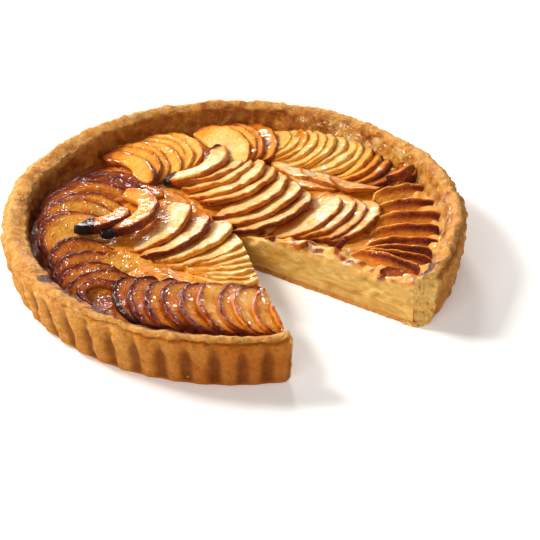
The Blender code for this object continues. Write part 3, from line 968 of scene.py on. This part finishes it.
FANS["apple_loose_slice"] = {
    "keys": [(0, 41, 48, -119, 17, 12, 4)],
    "sheen": [(0, 0.7)],
    "tones": [(0, 0.28, 0.20, 0.20, 0.05, 0.1, 0.1)],
    "extras": [
        ((50, 50, -116, 19, 12, 6, 1.0), (0.24, 0.28, 0.26, 0.05, 0.1, 0.1)),
        ((30, 60, -124, 17, 12, 6, 1.0), (0.20, 0.28, 0.26, 0.05, 0.1, 0.1)),
        ((66, 42, -112, 16, 11, 6, 1.0), (0.30, 0.28, 0.26, 0.05, 0.1, 0.1)),
    ],
    "raise": 1.0,
    "thick": 2.6,
}
FANS["apple_knob_right"] = {
    "keys": [(0, 105, 59, 12, 9, 10, 12)],
    "tones": [(0, 0.52, 0.24, 0.26, 0.05, 0.1, 0.1)],
    "extras": [((100, 54, -40, 11, 10, 22, 0.5), (0.48, 0.30, 0.26, 0.05, 0.1, 0.2))],
    "raise": 2.5,
    "thick": 5.5,
}
FANS["apple_fan_right"] = {
    "keys": [
        (0, 85, -36, 61, 21, 11, 30),
        (1, 88, -27, 78, 22, 12, 30),
        (2, 91, -21, 82, 20, 12, 30),
        (3, 93, -13, 90, 21, 12, 29),
        (4, 95, 1, 91, 19, 13, 28),
        (5, 99, 14, 91, 18, 13, 28),
        (6, 97, 28, 90, 19, 13, 28),
        (7, 93, 42, 102, 17, 13, 26),
    ],
    # Its arris tones are below zero, so each top edge is paler: partly the edge's own pale colour,
    # partly a painted highlight along it.
    "tones": [
        (0, 0.48, -0.28, 0.10, 0.46, -0.1, 0.18),
        (2, 0.45, -0.27, 0.10, 0.48, -0.1, 0.18),
        (4, 0.38, -0.22, 0.10, 0.50, -0.1, 0.18),
        (7, 0.36, -0.18, 0.10, 0.46, -0.1, 0.14),
    ],
    "crevice": 0.10,
    "band_inside": True,
    "square": (0.62, 0.82),
    "roll": -5.0,
    "raise": -2.6,
    "deeper": 1,
    "thick": 2.3,
}
FANS["apple_scrap_right"] = {
    "keys": [(0, 92, -51, 57, 10, 7, 12)],
    "tones": [(0, 0.60, 0.15, 0.2, 0.05, 0.1, 0.1)],
    "extras": [
        ((60, -21, -30, 3, 5, 40, 3.0), (0.64, 0.1, 0.2, 0.05, 0.1, 0.1)),
        ((20.5, -8.8, -60, 4, 5, 20, 1.0), (0.66, 0.2, 0.2, 0.05, 0.1, 0.1)),
        ((38, -24, -50, 6, 5, 14, 1.0), (0.46, 0.2, 0.2, 0.05, 0.1, 0.1)),
    ],
    "raise": 1.2,
    "thick": 3.4,
}
FANS["apple_fan_left"] = {
    "keys": [
        (0, -104, 3, 147, 27, 24, 14),
        (1, -102, 17, 140, 27, 22, 15),
        (2, -99, 28, 132, 27, 20, 15),
        (3, -94, 42, 120, 29, 19, 14),
        (4, -84, 53, 109, 30, 18, 12),
        (5, -77, 61, 105, 28, 16, 10),
    ],
    "tones": [
        (0, 0.24, 0.38, 0.46, 0.48, 0.28, 0.0),
        (1, 0.29, 0.38, 0.46, 0.48, 0.28, 0.0),
        (3, 0.38, 0.38, 0.46, 0.42, 0.24, 0.1),
        (5, 0.46, 0.30, 0.36, 0.30, 0.14, 0.1),
    ],
    "extras": [
        ((-68, 52, 99, 25, 9, 3, 0.2), (0.46, 0.34, 0.30, 0.14, 0.1, 0.0)),
    ],
    "raise": 1.0,
    "deeper": 9,
    "crevice": 0.26,
    "square": (0.35, 0.0),
    "thick": 3.4,
}


def slice_of(keys, number):
    """The values for one slice, between those of the two keys around it."""
    for low, high in zip(keys, keys[1:]):
        if low[0] <= number <= high[0]:
            share = (number - low[0]) / (high[0] - low[0])
            return [a + (b - a) * share for a, b in zip(low[1:], high[1:])]
    return list(keys[0][1:])


def fan_values(fan, chance):
    """The place, size and tilt of each slice, all but the first a little out of line."""
    keys = fan["keys"]
    slices = []
    for number in range(keys[-1][0] + 1):
        values = slice_of(keys, number)
        loose = 1.0 if number else 0.0
        values[0] += loose * chance.uniform(-0.9, 0.9)
        values[1] += loose * chance.uniform(-0.9, 0.9)
        values[2] += loose * chance.uniform(-2.5, 2.5)
        values[3] += loose * chance.uniform(-1.2, 1.2)
        slices.append(values)
    return slices


# Places round a slice's section, from the bottom of its straight side, out to the rounded edge,
# up it, and back along the top: (share of the way in from the edge, or None, millimetres in from
# the edge, height as a share of the thickness).
SLICE_SECTION = [
    (1.0, 0, -0.92),
    (0.5, 0, -1.0),
    (None, 0.7, -1.0),
    (None, 0.15, -0.90),
    (None, 0.0, -0.72),
    (None, 0.05, -0.55),
    (None, 0.25, -0.40),
    (None, 0.6, -0.27),
    (None, 1.1, -0.17),
    (None, 1.8, -0.09),
    (None, 2.8, -0.03),
    (None, 4.0, 0.0),
    (None, 5.5, 0.0),
    (None, 7.5, 0.0),
    (0.48, 0, 0.0),
    (0.66, 0, 0.0),
    (0.82, 0, 0.0),
    (0.96, 0, -0.05),
    (1.0, 0, -0.22),
    (1.0, 0, -0.92),
]
SLICE_STATIONS = 60
# A slice's underside is noted as UNDERNEATH in from the rounded edge, and its top is always
# less than FARTHEST_IN.
UNDERNEATH = 99.0
FARTHEST_IN = 50.0


def slice_template(name, inner=0.0, square=(0.0, 0.0)):
    """One flat half moon of apple, 1 mm thick: a flat grid folded round into the slice's
    section. Its rounded edge is towards +Y and its top is at height 0. With inner it is a
    crescent of that width, as where the core was cut out. Square tells how blunt its left and
    its right end are. It notes each place's way in from the rounded edge, or its height on the
    side, and how far along the slice it is, from -1 to 1."""
    deselect()
    rows = len(SLICE_SECTION) - 1
    bpy.ops.mesh.primitive_grid_add(
        x_subdivisions=SLICE_STATIONS, y_subdivisions=rows, size=1.0, location=(0, 0, 0)
    )
    piece = bpy.context.object
    piece.name = name
    notes = {"edge": [], "rim": [], "along": []}
    for vertex in piece.data.vertices:
        along = vertex.co.x + 0.5
        share_in, mm_in, rise = SLICE_SECTION[int(round((vertex.co.y + 0.5) * rows))]
        turn = pi * (1 - along)
        rounded = max(0.0, sin(turn)) ** (1 - square[along > 0.5])
        edge = Vector((SLICE_HALF_WIDTH * cos(turn), SLICE_DEPTH * rounded))
        if inner:
            here = inner * (0.8 + 0.4 * along)
            core = Vector((SLICE_HALF_WIDTH - 0.9 * here, SLICE_DEPTH - here))
            core = Vector((core.x * cos(turn), core.y * rounded))
            start = 0.88 if along > 0.5 else 0.80
            middle, end = edge.lerp(core, 0.5), max(0.0, abs(along * 2 - 1) - start) / (1 - start)
            narrow = 1 - max(0.0, 1 - end * end) ** 0.5
            edge, core = edge.lerp(middle, narrow), core.lerp(middle, narrow)
        else:
            core = Vector((SLICE_HALF_WIDTH * 0.97 * cos(turn), 0.0))
        width = (core - edge).length
        share = share_in
        if share_in is None:
            share = min(mm_in / max(width, 0.01), 0.45 * mm_in / 7.5 + 0.001)
        tip = min(along, 1 - along) * SLICE_STATIONS
        blunt = 0.0 if tip < 0.5 else 0.72 if tip < 1.5 else 0.93 if tip < 2.5 else 1.0
        if tip < 0.5:
            share = 0.5
        place = edge.lerp(core, share)
        vertex.co = (place.x * MM, place.y * MM, (rise * blunt - 0.5 * (1 - blunt)) * MM)
        inwards = width * share
        on_side = share_in is None and mm_in < 0.3 and rise < -0.1
        notes["edge"].append(rise if on_side else inwards if rise > -0.5 else UNDERNEATH)
        notes["rim"].append(inwards)
        notes["along"].append(along * 2 - 1)
    float_attributes(piece.data, notes)
    edit(piece)
    bpy.ops.mesh.select_all(action="SELECT")
    bpy.ops.mesh.remove_doubles(threshold=0.00001)
    bpy.ops.mesh.normals_make_consistent(inside=False)
    leave_edit()
    return piece


def noted(mesh, name):
    return [entry.value for entry in mesh.attributes[name].data]


def bake_slice(mesh, half_width, depth, thick, frayed, chance):
    """Brings a slice to its size, frays its rounded edge, bends it a little and lifts its lip."""
    start = Vector([chance.uniform(0, 90) for _ in range(3)])
    wide, deep = half_width / SLICE_HALF_WIDTH, depth / SLICE_DEPTH
    sag, twist = chance.uniform(-0.8, 1.0), chance.uniform(-1.0, 1.0)
    for vertex, rim, end in zip(mesh.vertices, noted(mesh, "rim"), noted(mesh, "along")):
        x, y, z = vertex.co.x / MM * wide, vertex.co.y / MM * deep, vertex.co.z / MM * thick
        place = Vector((x, y, 0)) + start
        outward = Vector((0, 1))
        if abs(x) + abs(y) > 0.01:
            outward = Vector((x, y - 0.2 * depth)).normalized()
        near = smooth_step(7, 0, rim)
        fray = (1.1 * noise.noise(place / 9.0) + 0.45 * noise.noise(place / 3.0)) * near * frayed
        lip = (0.35 + 0.5 * frayed) * smooth_step(3.2, 1.2, rim)
        lip *= 0.7 + 1.0 * noise.noise(place / 3.5)
        z += lip if z > -0.5 * thick else 0.5 * lip
        z += 1.3 * noise.noise(place / 14.0) + 0.6 * noise.noise(place / 8.0) * near * frayed
        z += sag * near * end * end + twist * end * y / depth
        vertex.co = ((x + outward.x * fray) * MM, (y + outward.y * fray) * MM, z * MM)


def in_crevice(x, y, over):
    """How close a place is to the rounded edge of the slice laid over it, 0 to 1."""
    root_x, root_y, angle, half_width, reach = over
    dx, dy = x - root_x, y - root_y
    forward, across = dx * cos(angle) + dy * sin(angle), dx * sin(angle) - dy * cos(angle)
    outside = (hypot(forward / reach, across / half_width) - 1) * min(reach, half_width)
    return (1 - smooth_step(0.4, 3.2, outside)) if forward > -2 else 0.0


def roast_slice(mesh, tone, fan, number, over, chance):
    """Notes how brown each place on the slice is baked, with a darker crevice beside the slice laid
    over it, partly pooled glaze and partly painted shade, and how strong a painted sheen its top
    has.
    """
    face, arris, side, band, left_end, right_end = tone
    crevice = fan.get("crevice", 0.34)
    left, right, start = fan.get("burnt", {}).get(number, (0, 0, 0.62))
    darkest = fan.get("blackest", {}).get(number, 0.85)
    band_reach, end_from = fan.get("band_reach", 3.4), fan.get("end_from", -0.15)
    face += chance.uniform(-0.06, 0.06)
    patch = chance.uniform(0, 90)
    # How strong the painted sheen is on this slice's top.
    dry = slice_of(fan["sheen"], number)[0] if "sheen" in fan else 0.0
    tones = {"roast": [], "sheen": []}
    for vertex, edge, end in zip(mesh.vertices, noted(mesh, "edge"), noted(mesh, "along")):
        x, y = vertex.co.x / MM, vertex.co.y / MM
        value = face + left_end * smooth_step(end_from, end_from - 0.65, end)
        value += right_end * smooth_step(0.35, 0.95, end)
        patchy = 0.75 + 0.8 * noise.noise(Vector((end * 5 + patch, 0, 0)))
        if edge < -0.04:
            value += side + (arris - side) * smooth_step(-0.5, -0.17, edge) * patchy
        elif edge < FARTHEST_IN:
            value += arris * patchy * exp(-((edge / 1.6) ** 2))
            if fan.get("band_inside"):
                value += band * bump_at(edge, 5.5, 3.6) * (0.8 + 0.5 * end)
            else:
                value += band * exp(-((edge / band_reach) ** 2))
            # The crevice beside the slice laid over it is darker: partly glaze pooled there, partly
            # painted shade.
            value += crevice * in_crevice(x, y, over) * (1.0 - 0.55 * end) if over else 0.0
        value = min(value, darkest)
        ragged = end + 0.05 * noise.noise(Vector((x, y, patch)) / 1.8)
        char = left * smooth_step(-start, -start - 0.22, ragged)
        char = min(1.0, char + right * smooth_step(start, start + 0.22, ragged))
        on_top = smooth_step(0.4, 2.0, edge) if edge < FARTHEST_IN else 0.0
        tones["roast"].append(value + (1.05 - value) * char)
        tones["sheen"].append(dry * on_top * (1 - char) * smooth_step(0.45, 0.2, value))
    float_attributes(mesh, tones)
    for name in ("edge", "rim", "along"):
        mesh.attributes.remove(mesh.attributes[name])


def lay_slice(template, values, tone, fan, number, over, chance):
    """A copy of the template, brought to its size, tilted and laid in its place."""
    apex_x, apex_y, direction, half_width, depth, tilt, *raised = values
    thick = fan.get("thicker", {}).get(number, fan["thick"])
    angle, lean = radians(direction), radians(tilt * fan.get("lean", 1.5))
    reach = depth * cos(lean)
    root = (apex_x - reach * cos(angle), apex_y - reach * sin(angle))
    height = filling_height(*root) - 0.8 + fan.get("raise", 0.0)
    height += fan.get("lift", {}).get(number, 0.0) + sum(raised)
    deeper = fan.get("deeper", 0.0)
    mesh = template.data.copy()
    piece = bpy.data.objects.new("slice", mesh)
    bpy.context.scene.collection.objects.link(piece)
    bake_slice(mesh, half_width, depth + deeper, thick, fan.get("frayed", 1.0), chance)
    leaning = Matrix.Translation(Vector((0, -deeper, 0)) * MM)
    leaning = Matrix.Rotation(lean, 4, "X") @ leaning
    rolled = fan.get("rolled", {}).get(number, fan.get("roll", 0.0))
    roll = Matrix.Rotation(radians(rolled + chance.uniform(-2.5, 2.5)), 4, "Y")
    turned = Matrix.Rotation(angle - pi / 2, 4, "Z")
    place = Matrix.Translation(Vector((*root, height)) * MM)
    mesh.transform(place @ turned @ leaning @ roll)
    roast_slice(mesh, tone, fan, number, over, chance)
    return piece, (*root, angle, half_width, reach)


def soften_corners(piece):
    smoothing = piece.modifiers.new("Rounded", "SMOOTH")
    smoothing.factor = 0.5
    smoothing.iterations = 5
    apply_all(piece)


def trim_at_cut(piece, cut):
    """Cuts a slice off at a knife cut, where it runs into the missing portion."""
    towards_gap = 1 if cut == CUT_FRONT else -1
    normal = (-sin(cut) * towards_gap, cos(cut) * towards_gap, 0)
    edit(piece)
    bpy.ops.mesh.select_all(action="SELECT")
    bpy.ops.mesh.bisect(plane_co=(0, 0, 0), plane_no=normal, use_fill=True, clear_outer=True)
    leave_edit()


# The fans that a knife cut runs through, and which cut it is.
CUT_FANS = {
    "apple_fan_centre": CUT_RIGHT,
    "apple_fan_right": CUT_RIGHT,
    "apple_scrap_right": CUT_RIGHT,
    "apple_fan_left_centre": CUT_FRONT,
    "apple_fan_front": CUT_FRONT,
}


def make_fans(look):
    chance = random.Random(7)
    extra = random.Random(21)
    moon = slice_template("moon")
    for name, fan in FANS.items():
        made, over = [], None
        template_of_fan = slice_template("own", square=fan.get("square", (0.2, 0.2)))
        for number, values in enumerate(fan_values(fan, chance)):
            template = template_of_fan
            crescent = fan.get("inner", {}).get(number)
            if crescent:
                template = slice_template("crescent", inner=crescent * SLICE_DEPTH / values[4])
            tone = slice_of(fan["tones"], number)
            piece, over = lay_slice(template, values, tone, fan, number, over, extra)
            made.append(piece)
            if crescent:
                bpy.data.objects.remove(template, do_unlink=True)
                soften_corners(piece)
        for values, tone in fan.get("extras", []):
            made.append(lay_slice(moon, values, tone, fan, -1, None, extra)[0])
        bpy.data.objects.remove(template_of_fan, do_unlink=True)
        if name in CUT_FANS:
            for piece in made:
                trim_at_cut(piece, CUT_FANS[name])
        deselect()
        for piece in made:
            piece.select_set(True)
        bpy.context.view_layer.objects.active = made[0]
        if len(made) > 1:
            bpy.ops.object.join()
        fan_piece = made[0]
        fan_piece.name = name.replace("apple_", "sliced_")
        roughen(fan_piece, 4.0, 0.6)
        roughen(fan_piece, 1.5, 0.40)
        fan_piece.data.materials.append(look)
        smooth_shade(fan_piece, 60)
        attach(fan_piece, "root")
        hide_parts(name)
    bpy.data.objects.remove(moon, do_unlink=True)


set_camera()
set_lamps()
set_surroundings()
lay_floor()
make_crust(crust_look())
make_filling(custard_look())
make_fans(apple_look())
deselect()
